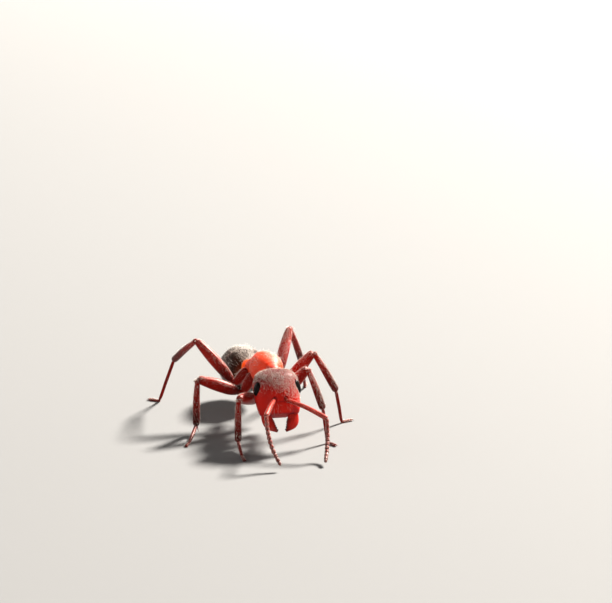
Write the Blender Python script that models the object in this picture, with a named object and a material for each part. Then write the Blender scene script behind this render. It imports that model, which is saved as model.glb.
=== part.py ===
"""A red wood ant worker, life size, standing still on its six feet.

The ant faces -Y with its left side at +X, and its feet stand on Z = 0.
Sizes are in millimetres and angles in degrees. The finished solids are
scaled to metres.
"""
import math

import bmesh
import bpy
import numpy as np
from mathutils import Vector

MM = 0.001
GAP = 0.10  # clear space kept where one piece meets the next

# Head, measured from its own centre
HEAD_CENTRE = (-0.12, -2.20, 2.21)
HEAD_DROOP = 48.0
HEAD_TURN = -7.0
HEAD_HALF_WIDTH = 0.98
HEAD_HALF_LENGTH = 1.08
EYE_HALF = (0.16, 0.34, 0.205)
EYE_PLACE = (0.86, 0.10, 0.28)
EYE_TILT = 26.0  # how far the eye looks up from straight out to the side
EYE_SLANT = 32.0  # how far its rear end is raised towards the face
CLYPEUS_PLACE = (0.0, -0.84, 0.16)
CLYPEUS_HALF = (0.46, 0.32, 0.28)
LOBE_PLACE = (0.15, -0.46, 0.54)
LOBE_HALF = (0.11, 0.26, 0.12)

# Mandibles: side and rear of the blade's middle, and half its width, from hinge to tip
MANDIBLE_PATH = ((0.50, -0.62), (0.56, -1.07), (0.45, -1.41), (0.18, -1.72))
MANDIBLE_WIDTHS = (0.20, 0.24, 0.25, 0.07)
MANDIBLE_HALF_THICKNESS = 0.15
MANDIBLE_DROP = 0.05
MANDIBLE_TEETH = 5
TOOTH_FIRST = (0.30, -1.22)
TOOTH_LAST = (0.15, -1.66)
TOOTH_REACH = (-0.17, -0.07)
TOOTH_RADIUS = 0.075
TOOTH_TIP_RADIUS = 0.02

# Antennae: elbow and points of the whip, in the ant's own space
SOCKET_PLACE = (0.22, -0.52, 0.48)
ELBOW = {"left": (1.38, -4.28, 1.58), "right": (-1.31, -4.45, 2.02)}
WHIP = {
    "left": ((1.30, -4.55, 1.00), (1.10, -5.05, 0.50), (0.82, -5.68, 0.20)),
    "right": ((-1.35, -4.80, 1.45), (-1.28, -5.15, 0.85), (-1.08, -5.62, 0.24)),
}
SCAPE_RADIUS = 0.22
CLUB_RADIUS = 0.20
TIP_RADIUS = 0.12
CLUB_START = 1.8  # distances from the elbow
TIP_START = 3.0
ANTENNA_TRIMS = (0.32, 0.28, 0.28)

# Trunk, waist and gaster
TRUNK_CENTRE = (0.0, 0.0, 2.66)
TRUNK_PITCH = 13.0
SCALE_CENTRE = (0.04, 1.80, 2.08)
SCALE_HALF = (0.50, 0.17, 0.47)
SCALE_POWER = 3.0  # how square the scale is, seen from the rear
WAIST_RADIUS = 0.20
STALK_START = (0.0, 1.30, -0.15)
STALK_END = (0.0, -1.30, 0.10)
STALK_DIP = 0.18
GASTER_CENTRE = (0.24, 3.64, 1.55)
GASTER_HALF = (0.98, 1.50, 0.95)
GASTER_TURN = 6.0
GASTER_PITCH = 4.0
PLATE_STEP = 0.045  # how far the rear edge of a gaster plate stands proud
PLATE_EDGES = (-1.0, -0.22, 0.26, 0.60, 0.86, 1.0)  # shares of the gaster's half length

# Legs: length of femur, tibia and tarsus, and half thickness along them
LEG_LENGTHS = {"fore": (1.97, 1.82, 1.62), "mid": (2.15, 2.05, 1.85), "hind": (2.50, 2.60, 2.60)}
HIP = {"fore": (0.50, -0.95, 1.62), "mid": (0.88, 0.13, 1.58), "hind": (0.93, 1.00, 1.75)}
COXA_ROOT = {"fore": (0.38, -0.72, 2.45), "mid": (0.40, 0.08, 2.40), "hind": (0.38, 0.88, 2.35)}
COXA_RADIUS = 0.25
FEMUR_RADIUS = 0.25
KNEE_RADIUS = 0.21
TIBIA_RADIUS = 0.22
ANKLE_RADIUS = 0.17
FOOT_RADIUS = 0.12
FOOT_SINK = 0.03  # depth of the flat under each foot
FOOT_LENGTH = 0.50
LEG_TRIMS = (0.20, 0.34, 0.24, 0.16)

# Each leg's stance: swing forward and lift above level of femur, tibia and tarsus
STANCE = {
    ("left", "fore"): ((52, 48), (53, -65), 68),
    ("left", "mid"): ((23, 52), (8, -61), -15),
    ("left", "hind"): ((-52, 49), (-52, -52), -66),
    ("right", "fore"): ((46, 16), (60, -86), 82),
    ("right", "mid"): ((0, 23), (16, -88), 60),
    ("right", "hind"): ((-44, 43), (-79, -34), -45),
}

RED = (0.50, 0.035, 0.012, 1.0)
DARK_RED = (0.24, 0.018, 0.008, 1.0)
NEAR_BLACK = (0.022, 0.014, 0.012, 1.0)
EYE_BLACK = (0.006, 0.006, 0.007, 1.0)


def material(name, colour, roughness):
    """A plain horn-like finish."""
    made = bpy.data.materials.new(name)
    made.use_nodes = True
    shader = made.node_tree.nodes["Principled BSDF"]
    shader.inputs["Base Color"].default_value = colour
    shader.inputs["Roughness"].default_value = roughness
    shader.inputs["Metallic"].default_value = 0.0
    return made


def unit(vector):
    """The vector at length one."""
    vector = np.asarray(vector, float)
    return vector / np.linalg.norm(vector)


def frame(centre, turn, pitch):
    """Centre, side, rear and up of a piece whose front is lifted by pitch and turned to its left."""
    t, p = math.radians(turn), math.radians(pitch)
    rear = np.array([-math.sin(t) * math.cos(p), math.cos(t) * math.cos(p), -math.sin(p)])
    side = np.array([math.cos(t), math.sin(t), 0.0])
    return np.array(centre, float), side, rear, np.cross(side, rear)


def place(axes, point):
    """A point given as side, rear and up distances, in the ant's own space."""
    centre, side, rear, up = axes
    return centre + side * point[0] + rear * point[1] + up * point[2]


def through(stations, count):
    """Smooth curve through rows of values (Catmull-Rom), at count even steps."""
    rows = np.array(stations, float)
    rows = np.vstack([2 * rows[0] - rows[1], rows, 2 * rows[-1] - rows[-2]])
    t = np.linspace(0, len(stations) - 1 - 1e-9, count)
    k = t.astype(int)
    f = (t - k)[:, None]
    a, b, c, d = rows[k], rows[k + 1], rows[k + 2], rows[k + 3]
    return b + 0.5 * f * (c - a + f * (2 * a - 5 * b + 4 * c - d + f * (3 * (b - c) + d - a)))


def surface(name, rings, first, last):
    """Closed mesh over rings of points, with one point at each end."""
    count, sides = rings.shape[:2]
    points = np.vstack([rings.reshape(-1, 3), [first], [last]])
    faces = []
    for i in range(count - 1):
        for j in range(sides):
            n = (j + 1) % sides
            faces.append((i * sides + j, i * sides + n, (i + 1) * sides + n, (i + 1) * sides + j))
    for j in range(sides):
        n = (j + 1) % sides
        faces.append((count * sides, n, j))
        faces.append((count * sides + 1, (count - 1) * sides + j, (count - 1) * sides + n))
    mesh = bpy.data.meshes.new(name)
    mesh.from_pydata(points.tolist(), [], faces)
    shaped = bmesh.new()
    shaped.from_mesh(mesh)
    bmesh.ops.recalc_face_normals(shaped, faces=shaped.faces)
    shaped.to_mesh(mesh)
    shaped.free()
    made = bpy.data.objects.new(name, mesh)
    bpy.context.scene.collection.objects.link(made)
    return made


def loft(name, axes, stations, rings, sides, power=2.0, grow=0.0):
    """Body form along its rear axis: rows of distance, lift, half width, height above and depth below.

    Squares of the radii are carried smoothly from row to row, so that a zero row closes in a round end.
    """
    rows = np.array(stations, float)
    rows[:, 2:] = rows[:, 2:] ** 2
    curve = through(rows, rings + 2)
    radii = np.sqrt(np.maximum(curve[:, 2:], 0)) + grow
    along = curve[:, 0] + grow * np.linspace(-1, 1, rings + 2)
    turn = np.linspace(0, 2 * math.pi, sides, endpoint=False)
    c, s = np.cos(turn), np.sin(turn)
    across = np.sign(c) * np.abs(c) ** (2 / power)
    upward = np.sign(s) * np.abs(s) ** (2 / power)
    centre, side, rear, up = axes
    height = np.where(upward > 0, upward * radii[:, 1:2], upward * radii[:, 2:3]) + curve[:, 1:2]
    points = centre + along[:, None, None] * rear
    points = points + (radii[:, 0:1] * across)[:, :, None] * side + height[:, :, None] * up
    ends = [place(axes, (0, along[i], curve[i, 1])) for i in (0, -1)]
    return surface(name, points[1:-1], ends[0], ends[1])


def rounded(corners, trims):
    """Path with each inner corner turned into an arc that starts trims before it."""
    path = [corners[0]]
    for before, corner, after, trim in zip(corners, corners[1:], corners[2:], trims):
        start = corner + unit(before - corner) * trim
        end = corner + unit(after - corner) * trim
        for f in np.linspace(0, 1, 6):
            path.append((1 - f) ** 2 * start + 2 * f * (1 - f) * corner + f**2 * end)
    path.append(corners[-1])
    return np.array(path)


def tube(name, path, stations, spacing, sides):
    """Round limb along a path, whose radius follows rows of distance and radius."""
    steps = np.linalg.norm(np.diff(path, axis=0), axis=1)
    travelled = np.concatenate([[0], np.cumsum(steps)])
    length = travelled[-1]
    tip = np.interp(length, [row[0] for row in stations], [row[1] for row in stations])
    at = np.linspace(0, length - 0.8 * tip, int(length / spacing) + 2)
    at = np.concatenate([at, [length - 0.3 * tip, length]])
    centre = np.column_stack([np.interp(at, travelled, path[:, k]) for k in range(3)])
    rows = np.array(stations, float)
    radius = np.interp(at, rows[:, 0], rows[:, 1])
    radius[-2:] = tip * np.array([0.80, 0.35])
    tangent = np.gradient(centre, at, axis=0)
    turn = np.linspace(0, 2 * math.pi, sides, endpoint=False)
    across = unit(np.cross(tangent[0], (0.3, 0.2, 0.9)))
    rings = []
    for middle, forward, r in zip(centre, tangent, radius):
        forward = unit(forward)
        across = unit(across - forward * (across @ forward))
        lifted = np.cross(forward, across)
        rings.append(middle + r * (np.outer(np.cos(turn), across) + np.outer(np.sin(turn), lifted)))
    return surface(name, np.array(rings), centre[0], centre[-1])


def ellipsoid(name, axes, point, half, sides=16):
    """Closed egg of the given half sizes at a point of a frame."""
    centre = place(axes, point)
    rows = [(-half[1], 0, 0, 0, 0)]
    for angle in (-60, -30, 0, 30, 60):
        c, s = math.cos(math.radians(angle)), math.sin(math.radians(angle))
        rows.append((half[1] * s, 0, half[0] * c, half[2] * c, half[2] * c))
    rows.append((half[1], 0, 0, 0, 0))
    return loft(name, (centre,) + tuple(axes[1:]), rows, sides // 2 + 1, sides)


def keep_largest(made):
    """Drop loose scraps, so that the node is one closed surface."""
    shaped = bmesh.new()
    shaped.from_mesh(made.data)
    left = set(shaped.verts)
    groups = []
    while left:
        stack = [left.pop()]
        group = set(stack)
        while stack:
            for edge in stack.pop().link_edges:
                for vert in edge.verts:
                    if vert in left:
                        left.remove(vert)
                        group.add(vert)
                        stack.append(vert)
        groups.append(group)
    biggest = max(groups, key=lambda g: (len(g), max(v.co.z for v in g)))
    loose = [v for v in shaped.verts if v not in biggest]
    bmesh.ops.delete(shaped, geom=loose, context="VERTS")
    bmesh.ops.triangulate(shaped, faces=shaped.faces)
    bmesh.ops.dissolve_degenerate(shaped, dist=0.002, edges=shaped.edges)
    shaped.to_mesh(made.data)
    shaped.free()


def combine(made, others, operation):
    """One Boolean of a node with a collection of closed helpers, which are then removed."""
    helpers = bpy.data.collections.new("helpers")
    bpy.context.scene.collection.children.link(helpers)
    for other in others:
        helpers.objects.link(other)
    cut = made.modifiers.new("combine", "BOOLEAN")
    cut.operation = operation
    cut.solver = "EXACT"
    cut.operand_type = "COLLECTION"
    cut.collection = helpers
    bpy.context.view_layer.update()
    evaluated = made.evaluated_get(bpy.context.evaluated_depsgraph_get())
    finished = bpy.data.meshes.new_from_object(evaluated)
    made.modifiers.clear()
    made.data = finished
    for other in list(helpers.objects):
        bpy.data.objects.remove(other)
    bpy.data.collections.remove(helpers)
    keep_largest(made)


for old in list(bpy.data.objects):
    bpy.data.objects.remove(old)

HEAD = frame(HEAD_CENTRE, HEAD_TURN, -HEAD_DROOP)
TRUNK = frame(TRUNK_CENTRE, 0.0, TRUNK_PITCH)
WAIST = frame(SCALE_CENTRE, 0.5 * GASTER_TURN, 0.0)
GASTER = frame(GASTER_CENTRE, -GASTER_TURN, GASTER_PITCH)
SIDES = {"left": 1, "right": -1}


def head_form(name, grow=0.0):
    """Head capsule: broad behind, its cheeks drawn in towards the mandibles. Rear is the crown."""
    w, a = HEAD_HALF_WIDTH, HEAD_HALF_LENGTH
    rows = [
        (-a, 0.0, 0.0, 0.0, 0.0),
        (-0.92 * a, 0.0, 0.80 * w, 0.34, 0.34),
        (-0.72 * a, 0.0, 0.91 * w, 0.50, 0.48),
        (-0.35 * a, 0.0, 0.97 * w, 0.64, 0.58),
        (0.05 * a, 0.0, 1.00 * w, 0.70, 0.62),
        (0.45 * a, 0.0, 0.99 * w, 0.66, 0.60),
        (0.78 * a, 0.0, 0.84 * w, 0.48, 0.48),
        (0.94 * a, 0.0, 0.58 * w, 0.28, 0.30),
        (a, 0.0, 0.0, 0.0, 0.0),
    ]
    return loft(name, HEAD, rows, 22, 28, 2.3, grow)


def trunk_form(name, grow=0.0):
    """Trunk: neck, round pronotum and mesonotum, a groove, and the lower rounded propodeum."""
    rows = [
        (-1.66, -0.06, 0.0, 0.0, 0.0),
        (-1.52, -0.06, 0.26, 0.22, 0.26),
        (-1.26, -0.04, 0.36, 0.34, 0.32),
        (-0.98, 0.0, 0.58, 0.52, 0.46),
        (-0.55, 0.0, 0.68, 0.68, 0.64),
        (-0.08, 0.0, 0.62, 0.73, 0.74),
        (0.34, 0.0, 0.52, 0.60, 0.76),
        (0.60, 0.0, 0.45, 0.42, 0.75),
        (0.86, 0.0, 0.46, 0.45, 0.72),
        (1.18, 0.0, 0.44, 0.38, 0.60),
        (1.42, 0.0, 0.33, 0.16, 0.44),
        (1.52, -0.05, 0.0, 0.0, 0.0),
    ]
    return loft(name, TRUNK, rows, 34, 24, 2.1, grow)


def gaster_form(name, grow=0.0):
    """Gaster: a pointed egg under four plates, each flared at its rear edge over the next."""
    w, a, h = GASTER_HALF
    rows = [(-a, 0.0, 0.0, 0.0, 0.0)]
    last = len(PLATE_EDGES) - 2
    for number, (start, end) in enumerate(zip(PLATE_EDGES, PLATE_EDGES[1:])):
        for f in (0.06, 0.35, 0.70, 0.97):
            at = start + f * (end - start)
            if at <= -0.97 or at >= 0.98:
                continue
            shrink = math.sqrt(1 - abs(at) ** 2.2) * (1.0 - 0.06 * at)
            lift = PLATE_STEP * f if number < last else 0.0
            rows.append((at * a, 0.0, w * shrink + lift, h * shrink + lift, h * shrink + lift))
    rows.append((a, 0.0, 0.0, 0.0, 0.0))
    return loft(name, GASTER, rows, 42, 26, 2.0, grow)


def eye_form(side, name, grow=0.0):
    """Compound eye: an oval lens set slantwise in the side of the head, behind its middle."""
    s = SIDES[side]
    x, y, z = EYE_PLACE
    tilt, slant = math.radians(EYE_TILT), math.radians(EYE_SLANT)
    across, rear, up = HEAD[1:]
    out = s * math.cos(tilt) * across + math.sin(tilt) * up
    upward = math.cos(tilt) * up - s * math.sin(tilt) * across
    long = math.cos(slant) * rear + math.sin(slant) * upward
    wide = math.cos(slant) * upward - math.sin(slant) * rear
    half = [value + grow for value in EYE_HALF]
    return ellipsoid(name, (place(HEAD, (s * x, y, z)), out, long, wide), (0, 0, 0), half, 14)


def build_head():
    """Head capsule with the clypeus and the two frontal lobes, hollowed for the eyes."""
    made = head_form("head")
    clypeus = ellipsoid("clypeus", HEAD, CLYPEUS_PLACE, CLYPEUS_HALF)
    x, y, z = LOBE_PLACE
    lobes = [ellipsoid("lobe", HEAD, (s * x, y, z), LOBE_HALF, 12) for s in SIDES.values()]
    combine(made, [clypeus] + lobes, "UNION")
    combine(made, [eye_form(side, "socket", GAP) for side in SIDES], "DIFFERENCE")
    return made


def build_mandible(side):
    """Mandible: a flat curved blade with a toothed inner edge, hinged at the cheek."""
    s = SIDES[side]
    count = 12
    curve = through([(x, y, w) for (x, y), w in zip(MANDIBLE_PATH, MANDIBLE_WIDTHS)], count)
    centre, right, rear, up = HEAD
    turn = np.linspace(0, 2 * math.pi, 12, endpoint=False)
    rings = []
    for i, (x, y, w) in enumerate(curve):
        ahead = curve[min(i + 1, count - 1)] - curve[max(i - 1, 0)]
        along = unit(right * s * ahead[0] + rear * ahead[1])
        across = unit(np.cross(along, up))
        middle = centre + right * s * x + rear * y - up * MANDIBLE_DROP
        depth = MANDIBLE_HALF_THICKNESS * (1 - 0.55 * (i / (count - 1)) ** 2)
        rings.append(middle + np.outer(np.cos(turn), across) * w + np.outer(np.sin(turn), up) * depth)
    rings = np.array(rings)
    made = surface("mandible_" + side, rings, rings[0].mean(axis=0), rings[-1].mean(axis=0))
    teeth = []
    for k in range(MANDIBLE_TEETH):
        f = (k + 0.5) / MANDIBLE_TEETH
        x, y = (1 - f) * np.array(TOOTH_FIRST) + f * np.array(TOOTH_LAST)
        root = place(HEAD, (s * x, y, -MANDIBLE_DROP))
        tip = place(HEAD, (s * (x + TOOTH_REACH[0]), y + TOOTH_REACH[1], -MANDIBLE_DROP))
        rows = [(0, TOOTH_RADIUS), (np.linalg.norm(tip - root), TOOTH_TIP_RADIUS)]
        teeth.append(tube("tooth", np.array([root, tip]), rows, 0.2, 6))
    combine(made, teeth, "UNION")
    combine(made, [head_form("cutter", GAP)], "DIFFERENCE")
    return made


def build_antenna(side):
    """Antenna: a long straight scape, a sharp elbow and a drooping whip that reaches the ground."""
    x, y, z = SOCKET_PLACE
    root = place(HEAD, (SIDES[side] * x, y, z))
    corners = [root] + [np.array(point) for point in (ELBOW[side],) + WHIP[side]]
    path = rounded(corners, ANTENNA_TRIMS)
    scape = np.linalg.norm(corners[1] - root)
    rows = [
        (0, SCAPE_RADIUS * 0.9),
        (0.5 * scape, SCAPE_RADIUS * 0.95),
        (scape, SCAPE_RADIUS),
        (scape + CLUB_START, CLUB_RADIUS),
        (scape + TIP_START, TIP_RADIUS),
    ]
    made = tube("antenna_" + side, path, rows, 0.24, 10)
    combine(made, [head_form("cutter", GAP)], "DIFFERENCE")
    return made


def build_leg(side, pair):
    """Leg from the coxa under the trunk to the foot, whose sole is flat on the ground."""
    s = SIDES[side]
    (femur_swing, femur_lift), (tibia_swing, tibia_lift), tarsus_swing = STANCE[side, pair]
    femur, tibia, tarsus = LEG_LENGTHS[pair]

    def heading(swing, lift):
        a, b = math.radians(swing), math.radians(lift)
        return np.array([s * math.cos(a) * math.cos(b), -math.sin(a) * math.cos(b), math.sin(b)])

    mirror = np.array([s, 1, 1])
    root = np.array(COXA_ROOT[pair]) * mirror
    hip = np.array(HIP[pair]) * mirror
    knee = hip + femur * heading(femur_swing, femur_lift)
    ankle = knee + tibia * heading(tibia_swing, tibia_lift)
    floor = FOOT_RADIUS - FOOT_SINK
    drop = ankle[2] - floor
    stride = tarsus - FOOT_LENGTH
    reach = math.sqrt(max(stride**2 - drop**2, 0.09))
    outward = heading(tarsus_swing, 0)
    touch = np.array([ankle[0], ankle[1], floor]) + reach * outward
    toe = touch + FOOT_LENGTH * outward
    corners = [root, hip, knee, ankle, touch, toe]
    path = rounded(corners, LEG_TRIMS)
    coxa = np.linalg.norm(hip - root)
    tarsus_run = math.hypot(reach, drop)
    rows = [
        (0, COXA_RADIUS),
        (coxa - 0.1, KNEE_RADIUS),
        (coxa + 0.45 * femur, FEMUR_RADIUS),
        (coxa + femur - 0.2, KNEE_RADIUS),
        (coxa + femur + 0.6 * tibia, TIBIA_RADIUS),
        (coxa + femur + tibia - 0.2, ANKLE_RADIUS),
        (coxa + femur + tibia + tarsus_run - 0.3, FOOT_RADIUS),
    ]
    made = tube("leg_%s_%s" % (side, pair), path, rows, 0.26, 10)
    for vertex in made.data.vertices:
        vertex.co.z = max(vertex.co.z, 0.0)
    combine(made, [trunk_form("cutter", GAP)], "DIFFERENCE")
    return made


def build_trunk():
    """Trunk, its neck cut to fit the back of the head."""
    made = trunk_form("thorax")
    combine(made, [head_form("cutter", GAP)], "DIFFERENCE")
    return made


def build_waist():
    """Petiole: a short stalk that carries one upright scale."""
    wide, thick, high = SCALE_HALF
    rows = [(-thick, 0, 0, 0, 0)]
    for angle in (-60, -30, 0, 30, 60):
        c, s = math.cos(math.radians(angle)), math.sin(math.radians(angle))
        rows.append((thick * s, 0, wide * c, high * c, high * c))
    rows.append((thick, 0, 0, 0, 0))
    made = loft("petiole", WAIST, rows, 12, 28, SCALE_POWER)
    start = place(TRUNK, STALK_START)
    end = place(GASTER, STALK_END)
    middle = np.array(SCALE_CENTRE) - np.array([0, 0, STALK_DIP])
    stalk = tube("stalk", np.array([start, middle, end]), [(0, WAIST_RADIUS), (2, WAIST_RADIUS)], 0.2, 12)
    combine(made, [stalk], "UNION")
    combine(made, [trunk_form("cutter", GAP), gaster_form("cutter", GAP)], "DIFFERENCE")
    return made


def finish(made, look):
    """Give a node its finish and smooth shading."""
    made.data.materials.clear()
    made.data.materials.append(look)
    made.data.shade_smooth()
    made.data.set_sharp_from_angle(angle=math.radians(50))
    return made


red = material("red_shell", RED, 0.30)
dark_red = material("dark_red_shell", DARK_RED, 0.35)
near_black = material("black_shell", NEAR_BLACK, 0.38)
eye_black = material("eye", EYE_BLACK, 0.15)

nodes = [
    finish(build_head(), red),
    finish(build_trunk(), red),
    finish(build_waist(), red),
    finish(gaster_form("gaster"), near_black),
]
for side in SIDES:
    nodes.append(finish(eye_form(side, "eye_" + side), eye_black))
    nodes.append(finish(build_mandible(side), dark_red))
    nodes.append(finish(build_antenna(side), dark_red))
    for pair in LEG_LENGTHS:
        nodes.append(finish(build_leg(side, pair), dark_red))

lowest = Vector([min(v.co[k] for n in nodes for v in n.data.vertices) for k in range(3)])
highest = Vector([max(v.co[k] for n in nodes for v in n.data.vertices) for k in range(3)])
shift = Vector(((lowest.x + highest.x) / 2, (lowest.y + highest.y) / 2, lowest.z))
for node in nodes:
    for vertex in node.data.vertices:
        vertex.co = (vertex.co - shift) * MM
    node.data.update()
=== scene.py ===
import math

import bpy
import numpy as np
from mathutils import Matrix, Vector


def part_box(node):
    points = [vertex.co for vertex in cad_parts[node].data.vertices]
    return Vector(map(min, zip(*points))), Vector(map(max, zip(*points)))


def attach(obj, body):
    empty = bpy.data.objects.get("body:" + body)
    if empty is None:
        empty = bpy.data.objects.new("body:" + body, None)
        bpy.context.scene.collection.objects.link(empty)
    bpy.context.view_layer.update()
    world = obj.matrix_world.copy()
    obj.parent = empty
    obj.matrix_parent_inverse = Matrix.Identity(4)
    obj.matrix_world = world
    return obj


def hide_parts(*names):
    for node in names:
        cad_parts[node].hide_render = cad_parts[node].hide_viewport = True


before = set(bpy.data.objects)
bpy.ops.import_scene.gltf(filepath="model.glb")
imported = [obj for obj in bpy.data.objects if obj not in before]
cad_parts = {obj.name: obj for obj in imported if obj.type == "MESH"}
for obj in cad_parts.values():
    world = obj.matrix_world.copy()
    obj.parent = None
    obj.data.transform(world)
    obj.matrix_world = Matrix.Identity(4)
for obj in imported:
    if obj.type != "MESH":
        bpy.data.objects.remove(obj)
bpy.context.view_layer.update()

# The ant as a whole
# A worker of the red wood ant group, about 9 mm long. It is measured in millimetres from a point on
# the ground under the middle of its trunk, and the left eye of the solids says where that point is.
MM = 0.001
SIDES = {"left": 1, "right": -1}
HEAD_CENTRE = (-0.12, -2.20, 2.21)
HEAD_DROOP = 48.0
HEAD_TURN = -7.0
EYE_PLACE = (0.86, 0.10, 0.28)


def directions(centre, turn, pitch):
    """Centre, side, rear and up of a body piece.

    Rear is the +Y direction turned about Z by turn and lowered by pitch. Side is level, and up is square
    to both.
    """
    t, p = math.radians(turn), math.radians(pitch)
    rear = np.array([-math.sin(t) * math.cos(p), math.cos(t) * math.cos(p), -math.sin(p)])
    side = np.array([math.cos(t), math.sin(t), 0.0])
    return np.array(centre, float), side, rear, np.cross(side, rear)


def place(axes, point):
    """Centre plus side, rear and up each times its distance; point may hold many rows."""
    centre, side, rear, up = axes
    point = np.asarray(point, float)
    return centre + point[..., 0:1] * side + point[..., 1:2] * rear + point[..., 2:3] * up


HEAD = directions(HEAD_CENTRE, HEAD_TURN, -HEAD_DROOP)
eye_box = np.array(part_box("eye_left"))
GROUND_POINT = eye_box.mean(axis=0) - MM * place(HEAD, EYE_PLACE)


def metres(points):
    """Ground point plus a thousandth of the place in millimetres."""
    return GROUND_POINT + MM * np.asarray(points, float)


# Camera
# A long lens close to the ground, ahead of the ant and a little to its right. The ant stands left of
# and below the middle of the frame, as in the picture.
VIEW_AZIMUTH = -17.8
VIEW_ELEVATION = 17.2
VIEW_DISTANCE = 120.0
PIXELS_PER_MM = 23.69
FRAME_WIDTH, FRAME_HEIGHT = 612, 603
AIM_HEIGHT = 2.0
AIM_PIXEL = (262.8, 382.5)
SENSOR = 36.0

azimuth, elevation = math.radians(VIEW_AZIMUTH), math.radians(VIEW_ELEVATION)
right = np.array([math.cos(azimuth), math.sin(azimuth), 0.0])
toward = np.array([math.sin(azimuth) * math.cos(elevation), -math.cos(azimuth) * math.cos(elevation),
                   math.sin(elevation)])
above = np.cross(toward, right)
aim = np.array([0.0, 0.0, AIM_HEIGHT])
eye_point = aim + VIEW_DISTANCE * toward
frame_middle = aim + right * (FRAME_WIDTH / 2 - AIM_PIXEL[0]) / PIXELS_PER_MM
frame_middle = frame_middle + above * (AIM_PIXEL[1] - FRAME_HEIGHT / 2) / PIXELS_PER_MM
lens = bpy.data.cameras.new("camera")
lens.sensor_width = SENSOR
lens.lens = PIXELS_PER_MM * VIEW_DISTANCE * SENSOR / FRAME_WIDTH
lens.clip_start = 0.001
lens.clip_end = 10.0
camera = bpy.data.objects.new("camera", lens)
bpy.context.scene.collection.objects.link(camera)
camera.location = metres(eye_point)
sight = Vector((frame_middle - eye_point).tolist())
camera.rotation_euler = sight.to_track_quat("-Z", "Y").to_euler()
bpy.context.scene.camera = camera

# Floor and light
# A pale sheet of matt board swept up into a wall all round, under three soft boxes. The key stands high
# behind the ant's left, as the sun does in the picture, a fill by the camera, and a third rims the back.
LIGHTS = {
    "key": ((250, 148, 250), 75, 7.6, (1.0, 0.95, 0.87)),
    "fill": ((-100, -220, 124), 140, 0.07, (1.0, 0.97, 0.95)),
    "rim": ((-240, 198, 138), 110, 0.16, (0.96, 0.98, 1.0)),
}
SKY_COLOUR = (0.86, 0.90, 1.0, 1.0)
SKY_STRENGTH = 0.04
FLOOR_REACH = 260.0
SWEEP_RADIUS = 150.0
SWEEP_STEPS = 24
ROUND_STEPS = 96
WALL_HEIGHT = 360.0
FLOOR_COLOUR = (0.180, 0.180, 0.182, 1.0)
WALL_COLOUR = (0.34, 0.34, 0.34, 1.0)
FLOOR_EDGE, WALL_EDGE = 0.06, 0.40


def wired(look, kind, inputs, **settings):
    """One node of a material or world: its settings, and its inputs joined to sockets or set to constants."""
    nodes = look.node_tree.nodes
    node = nodes[kind] if kind in nodes else nodes.new(kind)
    for key, value in settings.items():
        setattr(node, key, value)
    for socket, value in inputs.items():
        if isinstance(value, bpy.types.NodeSocket):
            look.node_tree.links.new(value, node.inputs[socket])
        else:
            node.inputs[socket].default_value = value
    return node


for name, (where, size, power, colour) in LIGHTS.items():
    lamp = bpy.data.lights.new(name, "AREA")
    lamp.shape = "DISK"
    lamp.size = size * MM
    lamp.energy = power
    lamp.color = colour
    box = bpy.data.objects.new(name, lamp)
    bpy.context.scene.collection.objects.link(box)
    box.location = metres(where)
    box.rotation_euler = Vector((-np.array(where, float)).tolist()).to_track_quat("-Z", "Y").to_euler()

sky = bpy.data.worlds.new("studio")
sky.use_nodes = True
wired(sky, "Background", {"Color": SKY_COLOUR, "Strength": SKY_STRENGTH})
bpy.context.scene.world = sky
bpy.context.scene.view_settings.view_transform = "Standard"

sweep = np.linspace(0, math.pi / 2, SWEEP_STEPS)
curb = np.column_stack([FLOOR_REACH + SWEEP_RADIUS * np.sin(sweep), SWEEP_RADIUS * (1 - np.cos(sweep))])
profile = np.vstack([[(0.01, 0), (60, 0), (160, 0)], curb, [(FLOOR_REACH + SWEEP_RADIUS, WALL_HEIGHT)]])
round_turn = np.linspace(0, 2 * math.pi, ROUND_STEPS + 1)
bowl = np.stack([profile[:, :1] * np.cos(round_turn), profile[:, :1] * np.sin(round_turn),
                 profile[:, 1:] + 0 * round_turn], axis=-1)
row, column = np.meshgrid(np.arange(len(profile) - 1), np.arange(ROUND_STEPS), indexing="ij")
corner = (row * (ROUND_STEPS + 1) + column).reshape(-1)
beyond = corner + ROUND_STEPS + 1
board = bpy.data.meshes.new("floor")
board.from_pydata(metres(bowl.reshape(-1, 3)).tolist(), [],
                  np.column_stack([corner, beyond, beyond + 1, corner + 1]).tolist())
board.shade_smooth()
floor = bpy.data.objects.new("floor", board)
bpy.context.scene.collection.objects.link(floor)
matt = bpy.data.materials.new("floor_board")
matt.use_nodes = True
matt_place = wired(matt, "ShaderNodeTexCoord", {}).outputs["Object"]
matt_length = wired(matt, "ShaderNodeVectorMath", {0: matt_place}, operation="LENGTH").outputs["Value"]
matt_share = wired(matt, "ShaderNodeMapRange",
                   {"Value": matt_length, "From Min": FLOOR_EDGE, "From Max": WALL_EDGE},
                   interpolation_type="SMOOTHSTEP").outputs["Result"]
matt_mix = wired(matt, "ShaderNodeMix", {"Factor": matt_share, "A": FLOOR_COLOUR, "B": WALL_COLOUR},
                 data_type="RGBA").outputs["Result"]
wired(matt, "Principled BSDF", {"Base Color": matt_mix, "Roughness": 0.85})
board.materials.append(matt)

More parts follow.
